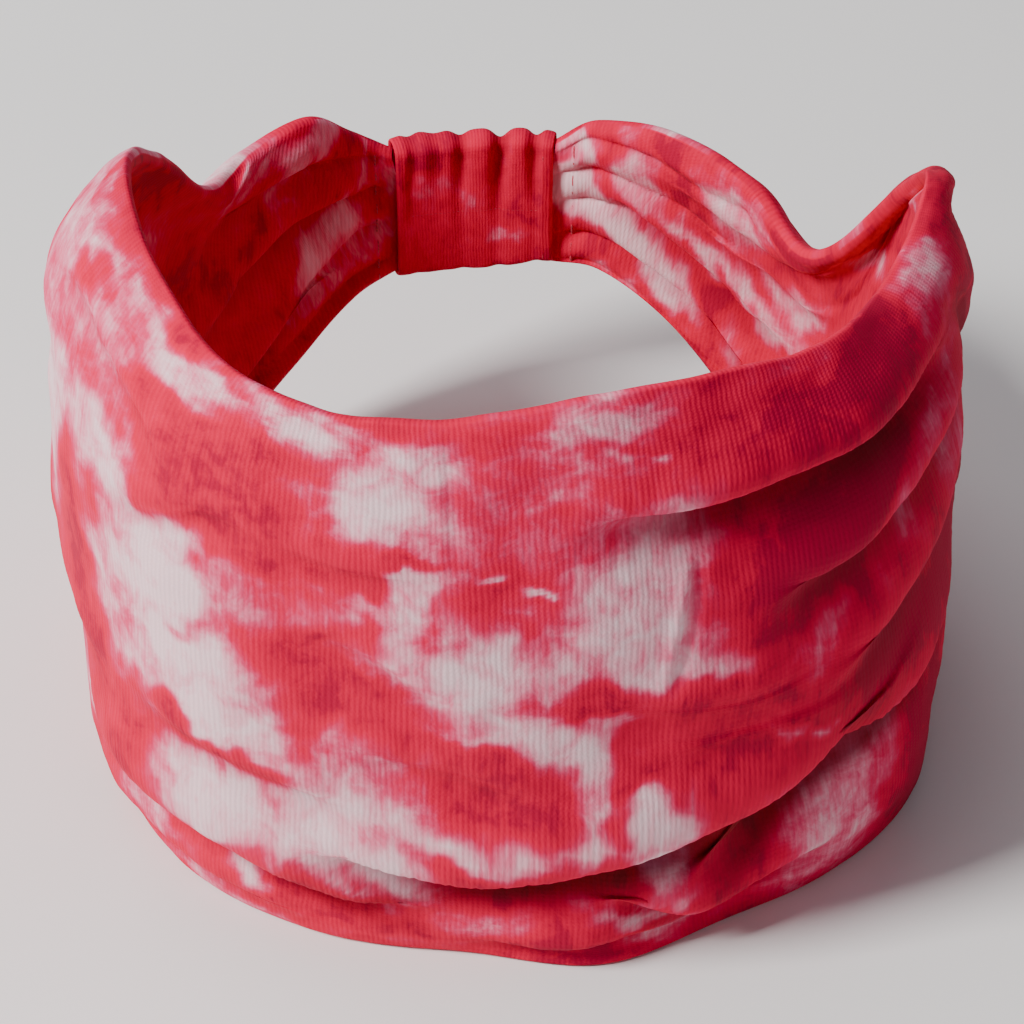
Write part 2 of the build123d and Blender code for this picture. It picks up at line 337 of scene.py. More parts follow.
def band_shape():
    """The band's points and cloth coordinates, column by column."""
    rows = band_rows()
    count = len(rows)
    station = np.repeat(np.interp(np.linspace(0, GIRTH[-1], COLUMNS), GIRTH, FINE), count)
    ply, share, away, off = (np.tile(rows[:, k], COLUMNS) for k in range(4))
    line = smooth(STATIONS, station)
    drop = line[:, 4] - line[:, 5]
    edge = EDGE_RADIUS / drop
    # Rows that round an edge keep their own distance from it. The others share the rest.
    rounding = off < 1
    height = np.where(
        rounding, np.where(share > 0.5, 1 - away / drop, away / drop), edge + share * (1 - 2 * edge)
    )
    along, span = along_of(station), span_of(station)
    up = height * span
    from_end = np.minimum(along, GIRTH[-1] - along)
    outer_down, outer_out, tuck, outer_painted_shade = fold_shift(OUTER_FOLDS, along, up)
    inner_down, inner_out, _, inner_painted_shade = fold_shift(INNER_FOLDS, along, up)
    inside = ply < 0
    down = np.where(inside, inner_down, outer_down)
    # The painted shade under the folds fades out near the rim and the hem
    painted_crease_shade = np.where(inside, inner_painted_shade, outer_painted_shade) * ramp(np.minimum(up, span - up), 0, 6)
    # The inner ply gives way where the outer one is folded in
    bulge = np.where(inside, inner_out + tuck, outer_out)
    for points, depth, width in NIPS:
        across, taper = beside(points, along, up)
        bulge += ~inside * taper * depth * (0.7 * gauss(across / width + 1.3) - gauss(across / width))
    # Loose cloth between the folds
    bulge += (
        0.7 * noise(along, up, 21, 3) + 0.35 * noise(along, up, 9, 4) + 0.12 * noise(along, up, 4, 5)
    )
    bulge += inside * (0.5 * noise(along, up, 17, 8) + 0.3 * noise(along, up, 8, 9))
    bulge += pleats(along, height, 11) * np.where(inside, 1.0, 0.9)
    # Folds die away at the rolled edges, and the ends are drawn in flat
    near_edge = np.minimum(up, span - up)
    calm = ramp(near_edge, -1, 7) * ramp(from_end, -1, 5)
    bulge *= calm
    down *= ramp(near_edge, 0, 5)
    height = np.clip(height - down / span, 0.0, 1.0)
    ply_gap = 1.5 + 0.9 * ramp(from_end, 0, 14) * (1 - ramp(from_end, 40, 90))
    ply_gap = ply_gap + 0.5 * ramp(near_edge, 3, 30)
    open_gap = EDGE_RADIUS + (ply_gap - EDGE_RADIUS) * ramp(near_edge, 0, 6)
    offset = off * np.where(rounding, EDGE_RADIUS, open_gap)
    middle = wall(station, height)
    ahead = wall(np.clip(station + STATION_STEP, 0, LAST), height)
    ahead -= wall(np.clip(station - STATION_STEP, 0, LAST), height)
    above = wall(station, np.clip(height + HEIGHT_STEP, 0, 1))
    above -= wall(station, np.clip(height - HEIGHT_STEP, 0, 1))
    normal = np.cross(ahead, above)
    normal /= np.linalg.norm(normal, axis=1, keepdims=True)
    # The drawn outer wall is the outer ply's face, so the middle stands inside it.
    off_middle = ply * (offset + np.where(inside, bulge, 0)) + np.where(inside, 0, bulge)
    spot = middle - normal * WALL_HALF + normal * off_middle[:, None]
    # A soft wave along the rim, where the knit ripples
    near_rim = gauss((span - up) / 4)
    ripple = 0.35 * noise(along, 0 * up, 7, 21) + 0.5 * noise(along, 0 * up, 18, 22)
    spot[:, 2] += near_rim * ripple * ramp(from_end, 6, 20)
    spot[:, 2] = np.maximum(spot[:, 2], 0.25 + 0.25 * noise(along, up, 5, 30))
    cloth = np.column_stack([along, np.where(inside, 2 * span - up, up), 0 * along])
    return spot, cloth, painted_crease_shade, station, height, inside, count


def add_mesh(name, points, faces, layers=()):
    """A smooth-shaded mesh object from millimetre points."""
    mesh = bpy.data.meshes.new(name)
    mesh.from_pydata((np.asarray(points) * MM).tolist(), [], faces)
    mesh.update()
    mesh.shade_smooth()
    for label, values in layers:
        kind = "FLOAT" if values.ndim == 1 else "FLOAT_VECTOR"
        layer = mesh.attributes.new(label, kind, "POINT")
        layer.data.foreach_set("value" if values.ndim == 1 else "vector", values.astype(np.float32).ravel())
    piece = bpy.data.objects.new(name, mesh)
    bpy.context.scene.collection.objects.link(piece)
    return piece


def tube_faces(columns, count):
    """Quads between neighbouring columns of a closed loop of rows."""
    return [
        (c * count + r, c * count + (r + 1) % count, (c + 1) * count + (r + 1) % count, (c + 1) * count + r)
        for c in range(columns - 1)
        for r in range(count)
    ]


# ---------------------------------------------------------------- dye

# Patches of dye, painted in order: (station, height), reach along and up in millimetres,
# lean in degrees, and tone from 0, undyed, to 1, full crimson. Tones above 1, on the right
# flank, go past full crimson: partly deeper dye and partly painted shade where that side
# turns from the light.
OUTER_DYE_AND_SHADE = [
    # the left flank, up to the rim
    (6.0, 0.93, 44, 10, 0, 0.26), (4.6, 0.80, 26, 14, 10, 0.22), (7.4, 0.88, 24, 10, 0, 0.26),
    (5.3, 0.71, 11, 2.5, -6, 0.85), (4.9, 0.66, 4, 3, 0, 0.5), (5.2, 0.56, 20, 8, 10, 0.26),
    (3.9, 0.62, 9, 14, 0, 0.12), (5.9, 0.88, 5, 2.5, 20, 0.5), (7.0, 0.93, 6, 2.5, 10, 0.42),
    (4.0, 0.40, 4, 12, -20, 0.8), (4.8, 0.25, 12, 16, -10, 0.06), (6.8, 0.66, 28, 14, 0, 0.08),
    (6.6, 0.80, 4, 2.5, 30, 0.5),
    (7.6, 0.86, 5, 4, 50, 0.75), (8.3, 0.87, 8, 2.5, 20, 0.45), (8.3, 0.95, 9, 5, 0, 0.3),
    (8.95, 0.93, 11, 5, 0, 0.12), (8.3, 0.72, 14, 8, 0, 0.10), (8.2, 0.64, 6, 1.6, 10, 0.5),
    # under the rim
    (9.95, 0.94, 12, 8, 0, 0.12), (10.45, 0.92, 4, 4.5, 0, 0.55), (10.6, 0.81, 13, 9, 0, 0.06),
    (9.4, 0.79, 13, 11, 25, 0.92), (9.2, 0.86, 12, 3, 0, 0.85), (8.9, 0.70, 5, 5, 30, 0.8),
    (10.8, 0.93, 7, 6, 0, 0.12), (10.15, 0.73, 7, 3.4, 10, 0.85), (10.75, 0.69, 6, 3.5, 0, 0.15),
    (10.6, 0.725, 9, 1.2, 0, 0.85),
    # right of the seamlike change of tone
    (11.65, 0.85, 14, 16, 0, 0.52), (11.6, 0.73, 12, 5, 0, 0.52), (11.35, 0.96, 4, 3, 35, 0.9),
    (12.0, 0.945, 12, 5.5, 0, 0.16), (12.6, 0.88, 14, 3, 0, 0.8), (11.9, 0.86, 4, 1.6, 0, 0.35),
    # Tone above 1 at station 14.1: deeper dye and painted shade on the right flank
    (12.3, 0.865, 4, 1.2, 0, 0.2), (11.75, 0.81, 3, 2, 0, 0.25), (14.1, 0.92, 30, 8, 8, 1.12),
    (13.6, 0.86, 20, 3.5, 0, 0.95), (12.5, 0.80, 16, 4, 0, 0.72), (15.5, 0.91, 8, 8, -40, 0.3),
    (16.4, 0.88, 9, 9, -30, 0.85), (14.6, 0.81, 15, 3, 0, 0.66),
    # the middle
    (8.0, 0.53, 13, 14, 0, 1.0), (6.3, 0.38, 34, 9, 24, 0.92), (8.95, 0.62, 15, 7, 0, -0.02),
    (9.05, 0.52, 16, 11, -20, -0.04), (9.6, 0.45, 12, 7, -20, 0.0), (8.6, 0.44, 7, 5, 0, 0.22),
    (9.15, 0.55, 4, 2, 0, 0.3),
    (10.2, 0.55, 17, 11, 0, 0.95), (9.7, 0.65, 10, 4, 0, 0.5), (10.3, 0.65, 7, 3, 0, 0.36),
    (10.7, 0.64, 6, 5, 0, 0.22), (10.4, 0.60, 6, 1.6, 0, 0.5), (10.0, 0.43, 7, 3, 0, 0.3),
    (9.9, 0.47, 4, 3, 0, 0.85),
    (11.35, 0.66, 9, 6, 0, 0.88), (11.15, 0.69, 2.2, 1.6, 0, 0.15), (11.4, 0.665, 1.6, 1.6, 0, 0.12),
    (11.55, 0.61, 6, 3, 0, 0.9),
    (12.25, 0.64, 15, 10, 10, 0.13), (12.6, 0.57, 12, 6, 0, 0.12), (12.5, 0.73, 6, 6, 0, 0.3),
    (13.0, 0.56, 7, 3, 20, 0.2), (12.2, 0.525, 6, 2.6, 0, 0.92), (12.95, 0.66, 6, 7, 0, 0.45),
    (11.25, 0.56, 12, 6.5, -10, 0.08), (11.75, 0.56, 6, 4, 0, 0.25), (11.3, 0.49, 12, 3, -8, 0.25),
    (11.75, 0.44, 12, 5, -38, 0.08), (12.25, 0.475, 9, 1.8, 8, 0.3), (12.4, 0.43, 4, 2, 0, 0.4),
    (13.0, 0.44, 18, 5, 8, 0.92), (13.4, 0.455, 6, 1.5, -15, 0.3), (13.0, 0.49, 12, 3, 0, 0.95),
    # Tone above 1: deeper dye and painted shade on the right flank
    (13.9, 0.70, 24, 13, 10, 1.2), (13.6, 0.57, 5, 4, 0, 0.42), (13.3, 0.60, 8, 4, 0, 0.9),
    (14.8, 0.72, 12, 7, 0, 0.55), (14.3, 0.66, 5, 5, 0, 0.5), (15.3, 0.62, 12, 10, 0, 0.5),
    # Tones above 1: deeper dye and painted shade on the right flank
    (14.9, 0.48, 22, 7, 10, 1.2), (16.3, 0.62, 12, 22, 0, 1.1), (17.2, 0.80, 14, 12, 0, 1.0),
    (10.55, 0.42, 9, 6, 0, 0.45), (9.3, 0.40, 16, 2.6, -8, 0.9), (11.3, 0.41, 9, 5, -20, 0.92),
    (10.9, 0.47, 8, 3, -15, 0.85),
    # the hanging edge of the long roll
    (11.95, 0.35, 6, 5, 20, 0.12), (12.3, 0.36, 9, 3.4, 8, 0.14), (11.0, 0.325, 12, 3.2, 0, 0.10),
    (13.1, 0.40, 9, 3, 18, 0.9), (12.1, 0.38, 3, 5, 0, 0.8),
    # the pale roll low on the left
    (9.3, 0.32, 15, 5.5, -6, 0.04), (9.7, 0.38, 5, 3, 0, 0.85), (10.15, 0.35, 8, 7, 10, 0.08),
    (10.35, 0.25, 17, 6, -14, 0.04), (8.7, 0.24, 6, 4, 0, 0.5), (8.2, 0.32, 8, 5, 0, 0.85),
    (10.1, 0.13, 20, 8, -8, 0.92), (9.35, 0.19, 4, 7, 0, 0.06), (8.9, 0.17, 6, 6, 0, 0.7),
    (8.3, 0.17, 8, 8, 0, 0.28), (7.3, 0.22, 9, 10, 20, 0.3), (9.0, 0.05, 22, 4, 0, 0.4),
    (10.6, 0.05, 9, 3, 0, 0.6),
    # under the long roll
    (11.5, 0.235, 14, 7, 0, 0.97), (11.1, 0.14, 8, 4, 0, 0.4), (12.4, 0.27, 6, 8, 0, 0.05),
    (12.75, 0.29, 3, 3, 0, 0.6), (12.95, 0.24, 5, 7, 0, 0.95), (12.3, 0.155, 9, 3, 0, 0.14),
    (11.7, 0.05, 13, 6, 0, 1.0), (12.6, 0.06, 8, 5, 0, 0.3),
    (13.1, 0.15, 8, 7, 0, 0.95), (13.9, 0.19, 14, 16, 0, 0.27), (14.5, 0.30, 6, 6, 0, 0.4),
    # Tones above 1: deeper dye and painted shade on the right flank
    (15.2, 0.15, 14, 18, 0, 1.15), (16.2, 0.3, 12, 7, 0, 0.4), (16.8, 0.45, 9, 12, 0, 1.05),
    # round the back, where the arms narrow
    (17.6, 0.28, 17, 15, 20, 0.02), (18.4, 0.62, 9, 8, 0, 0.92), (18.2, 0.84, 9, 6, -20, 0.1),
    (19.3, 0.62, 13, 9, 25, 0.02), (19.2, 0.22, 8, 7, 0, 0.9),
    (20.4, 0.30, 12, 8, -15, 0.06), (20.8, 0.78, 10, 6, 0, 0.12), (21.6, 0.50, 9, 5, 10, 0.2),
    (22.4, 0.25, 7, 4, 0, 0.1), (22.3, 0.75, 6, 4, 0, 0.35), (19.9, 0.48, 5, 4, 0, 0.75),
    (3.9, 0.78, 15, 9, -15, 0.06), (3.2, 0.36, 15, 10, 10, 0.02), (2.2, 0.74, 11, 7, 0, 0.08),
    (1.6, 0.30, 10, 5, 10, 0.12), (0.8, 0.68, 6, 5, 0, 0.3), (2.6, 0.52, 6, 4, 0, 0.8),
    (4.3, 0.12, 10, 6, 0, 0.85),
]
INNER_DYE = [
    # the left arm, as it faces the viewer
    (0.45, 0.45, 8, 4.5, 0, 0.45), (0.3, 0.76, 3, 5, 0, 0.35), (0.75, 0.86, 3, 4, 0, 0.4),
    (1.5, 0.47, 7, 8, 0, 0.16), (1.45, 0.32, 5, 4, 0, 0.5), (1.9, 0.86, 6, 7, 10, 0.32),
    (2.55, 0.88, 7, 6, -30, 0.35), (3.1, 0.92, 6, 4, -30, 0.3), (2.9, 0.42, 2, 9, 0, 0.75),
    # the right arm
    (22.5, 0.66, 8, 4.6, 0, 0.02), (22.4, 0.92, 8, 4, 0, 0.12), (21.6, 0.44, 10, 4.6, 14, 0.0),
    (20.95, 0.27, 7, 9, 10, 0.0), (20.3, 0.50, 18, 3.4, 6, 0.18), (19.3, 0.54, 10, 5, 0, 0.2),
    (21.25, 0.76, 5, 10, 0, 0.2), (20.1, 0.80, 8, 12, 20, 0.18), (19.5, 0.93, 5, 5, 0, 0.4),
    (20.1, 0.18, 3, 8, -10, 0.45), (21.6, 0.06, 5, 3, 0, 0.4), (18.3, 0.72, 8, 4, -20, 0.35),
    (17.6, 0.90, 9, 5, 0, 0.3), (18.9, 0.80, 6, 6, 0, 0.8),
    # the front, out of the viewer's sight
    (5.6, 0.58, 20, 16, 15, 0.04), (7.4, 0.34, 16, 14, -20, 0.06), (7.0, 0.85, 14, 7, 0, 0.15),
    (8.8, 0.62, 17, 11, 25, 0.0), (10.0, 0.28, 18, 12, 0, 0.05), (10.4, 0.80, 15, 9, -10, 0.08),
    (11.6, 0.50, 16, 12, 20, 0.04), (12.8, 0.22, 15, 10, 0, 0.1), (13.3, 0.74, 16, 12, 0, 0.04),
    (14.6, 0.42, 17, 12, -20, 0.02), (15.8, 0.78, 12, 10, 0, 0.1), (16.3, 0.30, 12, 11, 0, 0.08),
    (4.3, 0.25, 11, 11, 0, 0.3),
]


def dye(along, up, patches, base, loose, seed):
    """How much dye the cloth holds, from 0 to 1, from soft patches with ragged outlines, which
    wander further where loose is 1."""
    wide = along + 4.5 * noise(along, up, 15, seed)
    wide = wide + 3.2 * noise(along, up, 6, seed + 1)
    wide = wide + 1.5 * noise(along, up, 2.6, seed + 2)
    high = up + 4.5 * noise(along, up, 14, seed + 3)
    high = high + 3.2 * noise(along, up, 5.5, seed + 4)
    high = high + 1.5 * noise(along, up, 2.4, seed + 5)
    wide += 10 * loose * noise(along, up, 30, seed + 8)
    high += 8 * loose * noise(along, up, 26, seed + 9)
    tone = base + 0.20 * noise(along, up, 17, seed + 6) + 0.16 * noise(along, up, 7, seed + 7)
    for station, height, reach, rise, lean, value in patches:
        x = wide - along_of(station)
        y = high - height * span_of(station)
        turn = radians(lean)
        far = np.hypot((x * cos(turn) + y * sin(turn)) / reach, (y * cos(turn) - x * sin(turn)) / rise)
        tone += (value - tone) * (1 - ramp(far, 0.25, 1.8))
    return tone


spot, cloth, painted_crease_shade, station, height, inside, row_count = band_shape()
up = height * span_of(station)
front = ramp(np.minimum(cloth[:, 0], GIRTH[-1] - cloth[:, 0]), 80, 120)
tone = np.where(
    inside,
    dye(cloth[:, 0], up, INNER_DYE, 0.86, front, 60),
    dye(cloth[:, 0], up, OUTER_DYE_AND_SHADE, 0.78, 1 - front, 40),
)
band = add_mesh(
    "headband_cloth",
    spot,
    tube_faces(COLUMNS, row_count),
    [("cloth", cloth), ("dye", tone), ("painted_crease_shade", painted_crease_shade)],
)
BAND_GRID = spot.reshape(COLUMNS, row_count, 3)
BAND_HEIGHT = height.reshape(COLUMNS, row_count)
BAND_INSIDE = inside.reshape(COLUMNS, row_count)


# ---------------------------------------------------------------- the ruched casing

BACK_RADIUS = 70.0
casing_low, casing_high = (Vector(corner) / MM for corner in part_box("casing_tube"))
CASING_Z = (casing_low.z + casing_high.z) / 2
CASING_HALF = (casing_high.z - casing_low.z) / 2
CAD_CASING_THICK = 3.0  # half the CAD casing's thickness, from the back's arc to its outer face
BACK_CENTRE_Y = casing_high.y - CAD_CASING_THICK - BACK_RADIUS
CASING_REACH = 16.4  # half the casing's length along its arc, with its rolled ends
CASING_COLUMNS = 190
CASING_FACE_STEPS = 70
CASING_CAP_STEPS = 12
CASING_THICK = 3.1  # half the thickness over the elastic


def on_back(along, out, z):
    """A point by its place along the back's arc, its distance out of it, and its height."""
    turn = along / BACK_RADIUS
    radius = BACK_RADIUS + out
    return np.column_stack([np.sin(turn) * radius, BACK_CENTRE_Y + np.cos(turn) * radius, z])


# Gathers of the casing: place along it, how deep the valley is at the edges, and its width
CASING_GATHERS = [
    (-12.8, 0.7, 1.1), (-7.6, 0.4, 1.4), (-2.6, 1.1, 1.1), (5.2, 1.9, 1.2), (12.4, 1.4, 1.0),
]
# Faint pale spots: place along the casing, height from its middle, reach and tone
CASING_DYE = [
    (0.5, 4.0, 3.6, 0.48), (5.0, -7.0, 3.2, 0.38), (-2.5, 9.0, 3.0, 0.60), (9.5, -8.0, 3.0, 0.50),
    (-10.0, 7.0, 5.0, 0.50), (-9.0, -8.0, 3.6, 0.74),
]


def gathers(along, level, seed):
    """How far the casing's gathers sink its cloth, from valleys that sway and fade inwards."""
    sunk = np.zeros_like(along)
    for place, depth, width in CASING_GATHERS:
        sway = 1.1 * noise(along * 0 + place, 9 * level, 9, seed)
        reach = 0.14 + 0.86 * ramp(level, -0.7, 1.0) ** 1.8
        sunk += depth * reach * gauss((along - place - sway) / width)
    return sunk


def casing_shape():
    """The casing's points and cloth coordinates, column by column."""
    roll = radians(200) * np.linspace(0, 1, 14)
    mouth = np.column_stack([CASING_REACH - 1.1 + 1.1 * np.sin(roll), 0.56 + 0.22 * (1 + np.cos(roll))])
    middle = np.linspace(-CASING_REACH + 1.1, CASING_REACH - 1.1, CASING_COLUMNS)[1:-1]
    along = np.concatenate([-mouth[::-1, 0], middle, mouth[:, 0]])
    fullness = np.concatenate([mouth[::-1, 1], np.ones(len(middle)), mouth[:, 1]])
    face = np.linspace(-1, 1, CASING_FACE_STEPS)
    cap = np.linspace(0, pi, CASING_CAP_STEPS + 2)[1:-1]
    side = np.concatenate([np.ones(len(face)), np.cos(cap), -np.ones(len(face)), -np.cos(cap)])
    level = np.concatenate([face, 1 + 0 * cap, -face, -1 + 0 * cap])
    round_z = np.concatenate([0 * face, np.sin(cap), 0 * face, -np.sin(cap)])
    count = len(side)
    at = np.repeat(along, count)
    full = np.repeat(fullness, count)
    out, lift, cap_lift = (np.tile(values, len(along)) for values in (side, level, round_z))
    calm = ramp(CASING_REACH - np.abs(at), 0.6, 3)
    sunk = np.where(out > 0, gathers(at, np.abs(lift) * 0.9 + 0.1, 74), gathers(at, lift, 71)) * calm
    fine = 0.12 * noise(at, 16 * lift, 4, 80) + 0.4 * noise(at, 12 * lift, 9, 81)
    thick = (CASING_THICK + 0.7 * (1 - lift**2)) * full
    thick = thick + (0.45 - sunk + fine) * calm * (0.3 + 0.7 * np.abs(out))
    end = np.ones_like(at)
    edge = CASING_HALF - 2.4 + 0.35 * calm + 0.3 * noise(at, 0 * at, 5, 84)
    edge = edge - 0.9 * gathers(at, end, 71) * calm
    low_edge = CASING_HALF - 2.0 - 1.8 * ramp(at, 3, 15) - 0.25 * gathers(at, end, 74) * calm
    half = np.where(lift > 0, edge, low_edge)
    z = CASING_Z + lift * half + cap_lift * 2.2 * (0.5 + 0.5 * full)
    points = on_back(at, out * thick, z)
    tones = 0.84 + 0.12 * noise(at, 16 * lift, 8, 90)
    for place, rise, reach, value in CASING_DYE:
        ragged = 0.35 * noise(at, 16 * lift, 3, 91)
        far = np.hypot((at - place) / reach, (16 * lift - rise) / reach) + ragged
        tones += (value - tones) * (1 - ramp(far, 0.1, 1.4)) * (out < 0.5)
    around = np.tile(np.arange(count) * 0.46, len(along))
    # Painted shade: the casing's gather valleys on the face towards the ring's middle are darkened by how
    # deep they sink
    painted_crease_shade = 0.6 * np.clip(sunk / 1.6, 0, 1) * (out < 0.5)
    return points, np.column_stack([at * 1.5, around, 0 * at]), tones, painted_crease_shade, len(along), count


points, cloth, tones, painted_crease_shade, columns, count = casing_shape()
casing = add_mesh(
    "casing_cloth",
    points,
    tube_faces(columns, count),
    [("cloth", cloth), ("dye", tones), ("painted_crease_shade", painted_crease_shade)],
)


# ---------------------------------------------------------------- threads

THREAD_RADIUS = 0.2
THREAD_SIDES = 8
THREAD_STEPS = 7


def stitch_points(start, end, normal, rise):
    """A short thread that comes up out of the cloth at start and goes back in at end."""
    start, end, normal = (np.array(v, float) for v in (start, end, normal))
    normal /= np.linalg.norm(normal)
    part = np.linspace(0, 1, THREAD_STEPS)[:, None]
    line = start + (end - start) * part + normal * (rise * np.sin(pi * part) ** 0.5 - 0.2)
    ahead = np.gradient(line, axis=0)
    ahead /= np.linalg.norm(ahead, axis=1, keepdims=True)
    side = np.cross(ahead, normal)
    side /= np.linalg.norm(side, axis=1, keepdims=True)
    lift = np.cross(side, ahead)
    turn = np.arange(THREAD_SIDES) * 2 * pi / THREAD_SIDES
    ring = THREAD_RADIUS * (
        np.cos(turn)[None, :, None] * side[:, None] + np.sin(turn)[None, :, None] * lift[:, None]
    )
    return (line[:, None] + ring).reshape(-1, 3)


def add_stitches(name, stitches):
    points, faces = [], []
    for start, end, normal, rise in stitches:
        base = len(points)
        points += stitch_points(start, end, normal, rise).tolist()
        rings = [base + k * THREAD_SIDES for k in range(THREAD_STEPS)]
        for low, high in zip(rings, rings[1:]):
            faces += [
                (low + k, low + (k + 1) % THREAD_SIDES, high + (k + 1) % THREAD_SIDES, high + k)
                for k in range(THREAD_SIDES)
            ]
        faces.append(tuple(rings[0] + k for k in range(THREAD_SIDES))[::-1])
        faces.append(tuple(rings[-1] + k for k in range(THREAD_SIDES)))
    return add_mesh(name, points, faces)


def band_spot(along, share, ply):
    """A point on the band's cloth, and the way out of that ply there."""
    column = int(np.clip(round(along / GIRTH[-1] * (COLUMNS - 1)), 1, COLUMNS - 2))
    rows = np.flatnonzero(BAND_INSIDE[column] == (ply < 0))[EDGE_STEPS:-EDGE_STEPS]
    row = rows[np.argmin(np.abs(BAND_HEIGHT[column, rows] - share))]
    spot = BAND_GRID[column, row]
    normal = np.cross(
        BAND_GRID[column + 1, row] - BAND_GRID[column - 1, row],
        BAND_GRID[column, row + 1] - BAND_GRID[column, row - 1],
    )
    return spot, normal


# Overlock along the inner ply, low on the wall
SEAM_SHARE = 0.25
SEAM_PITCH = 2.6
SEAM_WIDTH = 0.02
SEAM_MARGIN = 45  # kept free of the seam's thread at each end of the band
seam = []
for index in range(int((GIRTH[-1] - 2 * SEAM_MARGIN) / SEAM_PITCH)):
    along = SEAM_MARGIN + index * SEAM_PITCH
    low, normal = band_spot(along, SEAM_SHARE - SEAM_WIDTH / 2, -1)
    high, _ = band_spot(along + 0.8, SEAM_SHARE + SEAM_WIDTH / 2, -1)
    seam.append((low, high, normal, 0.3))
closing_seam = add_stitches("closing_seam_thread", seam)


ROW_STITCHES = 8
GATHER_INSET = 4.2
GATHER_PITCH = 0.112  # as a share of the wall's height, like the half length of a stitch below
GATHER_HALF = 0.035


def gather_row(side):
    """Upright stitches that draw one end of the band together, on both of its plies."""
    rows = []
    for ply in (1, -1):
        for count in range(ROW_STITCHES):
            share = 0.10 + count * GATHER_PITCH
            along = GATHER_INSET if side < 0 else GIRTH[-1] - GATHER_INSET
            low, normal = band_spot(along, share - GATHER_HALF, ply)
            high, _ = band_spot(along, share + GATHER_HALF, ply)
            rows.append((low, high, normal, 0.18))
    return rows


left_gather = add_stitches("left_gather_thread", gather_row(-1))
right_gather = add_stitches("right_gather_thread", gather_row(1))


JOINT_INSET = 2.0
JOINT_PITCH = 3.3
JOINT_HALF = 1.1


def joint_row(side):
    """Upright stitches on both faces of the casing, close to one of its ends."""
    place = side * (CASING_REACH - JOINT_INSET)
    rows = []
    for face in (-1, 1):
        for count in range(ROW_STITCHES):
            z = CASING_Z + (count - (ROW_STITCHES - 1) / 2) * JOINT_PITCH
            normal = (sin(place / BACK_RADIUS) * face, cos(place / BACK_RADIUS) * face, 0)
            ends = np.array([z - JOINT_HALF, z + JOINT_HALF])
            points = on_back(np.full(2, place), np.full(2, face * (CASING_THICK + 0.1)), ends)
            rows.append((points[0], points[1], normal, 0.2))
    return rows


CASING_GRID = points.reshape(columns, count, 3)
casing_seam = []
for column in range(24, columns - 24, 6):
    row = CASING_FACE_STEPS + CASING_CAP_STEPS + CASING_FACE_STEPS // 2
    spots = CASING_GRID[column, row], CASING_GRID[column + 4, row]
    casing_seam.append((*spots, np.array([0, BACK_CENTRE_Y, 0]) - spots[0] * [1, 1, 0], 0.02))
casing_seam_thread = add_stitches("casing_seam_thread", casing_seam)
left_joint = add_stitches("left_joint_stitches", joint_row(-1))
right_joint = add_stitches("right_joint_stitches", joint_row(1))


# ---------------------------------------------------------------- materials


class Tree:
    """A material's node tree, with short calls for the nodes used here."""

    def __init__(self, name):
        self.material = bpy.data.materials.new(name)
        self.material.use_nodes = True
        self.nodes = self.material.node_tree.nodes
        self.shader = self.nodes["Principled BSDF"]

    def add(self, kind, inputs=(), **settings):
        node = self.nodes.new(f"ShaderNode{kind}")
        for key, value in settings.items():
            setattr(node, key, value)
        for key, value in dict(inputs).items():
            self.set(node.inputs[key], value)
        return node

    def set(self, socket, value):
        if isinstance(value, bpy.types.NodeSocket):
            self.material.node_tree.links.new(value, socket)
        else:
            socket.default_value = value

    def math(self, operation, a, b=0.0, clamp=False):
        return self.add("Math", {0: a, 1: b}, operation=operation, use_clamp=clamp).outputs[0]

    def ramp(self, value, stops):
        node = self.add("ValToRGB", {"Fac": value})
        elements = node.color_ramp.elements
        while len(elements) < len(stops):
            elements.new(0.5)
        for element, (place, colour) in zip(elements, stops):
            element.position = place
            element.color = (*colour, 1)
        return node.outputs["Color"]

    def texture(self, vector, scale, detail=3.0, rough=0.55, warp=0.0):
        found = self.add(
            "TexNoise",
            {"Vector": vector, "Scale": scale, "Detail": detail, "Roughness": rough, "Distortion": warp},
        )
        return found.outputs["Fac"]

    def stretch(self, vector, scale):
        return self.add("Mapping", {"Vector": vector, "Scale": scale}).outputs["Vector"]


# The dye's colour, from undyed to full crimson; the deepest stop also serves as painted shade for the right
# flank's tones above 1
DYE_AND_SHADE_STOPS = [
    (0.00, (0.93, 0.62, 0.67)),
    (0.15, (0.90, 0.43, 0.51)),
    (0.31, (0.86, 0.19, 0.30)),
    (0.45, (0.78, 0.055, 0.155)),
    (0.57, (0.76, 0.008, 0.078)),
    (0.70, (0.76, 0.000, 0.052)),
    (0.88, (0.66, 0.000, 0.044)),
    (1.00, (0.46, 0.000, 0.038)),
]
# Painted shade: the colour that the cloth below a fold and in the casing's gathers is multiplied towards
CREASE_SHADE = (0.30, 0.07, 0.13, 1)
WALE = 0.97  # the knit's rib pitch, in millimetres
COURSE = 0.75


